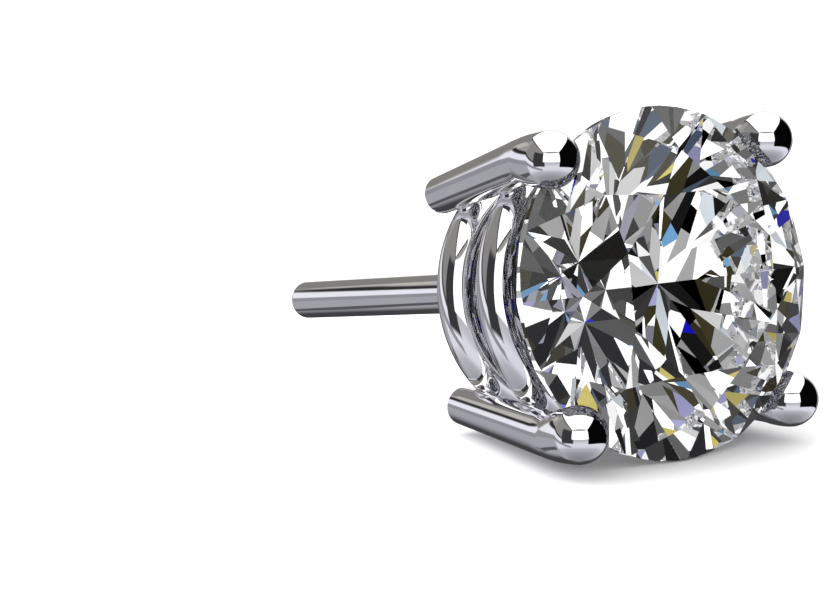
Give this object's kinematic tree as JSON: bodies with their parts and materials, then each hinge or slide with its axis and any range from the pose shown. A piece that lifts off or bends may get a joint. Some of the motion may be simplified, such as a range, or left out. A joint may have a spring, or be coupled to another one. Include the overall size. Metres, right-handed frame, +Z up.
{
  "type": "stud earring",
  "caption": "Stud earring: a round brilliant white stone held by prongs in an open basket of polished wire, with a straight ear post behind.",
  "frame": {"origin": "on the surface that the earring lies on, under the middle of its box", "axes": "+Z up from the surface; +Y from the stone's face towards the tip of the post; +X across, to the right of someone who looks at the stone from the front"},
  "size_m": [0.006, 0.0138, 0.0059],
  "materials": {
    "stone": "polished flat facets",
    "metal": "mirror polished white metal"
  },
  "bodies": {
    "root": {"stone": "stone", "setting": "metal"}
  },
  "joints": []
}
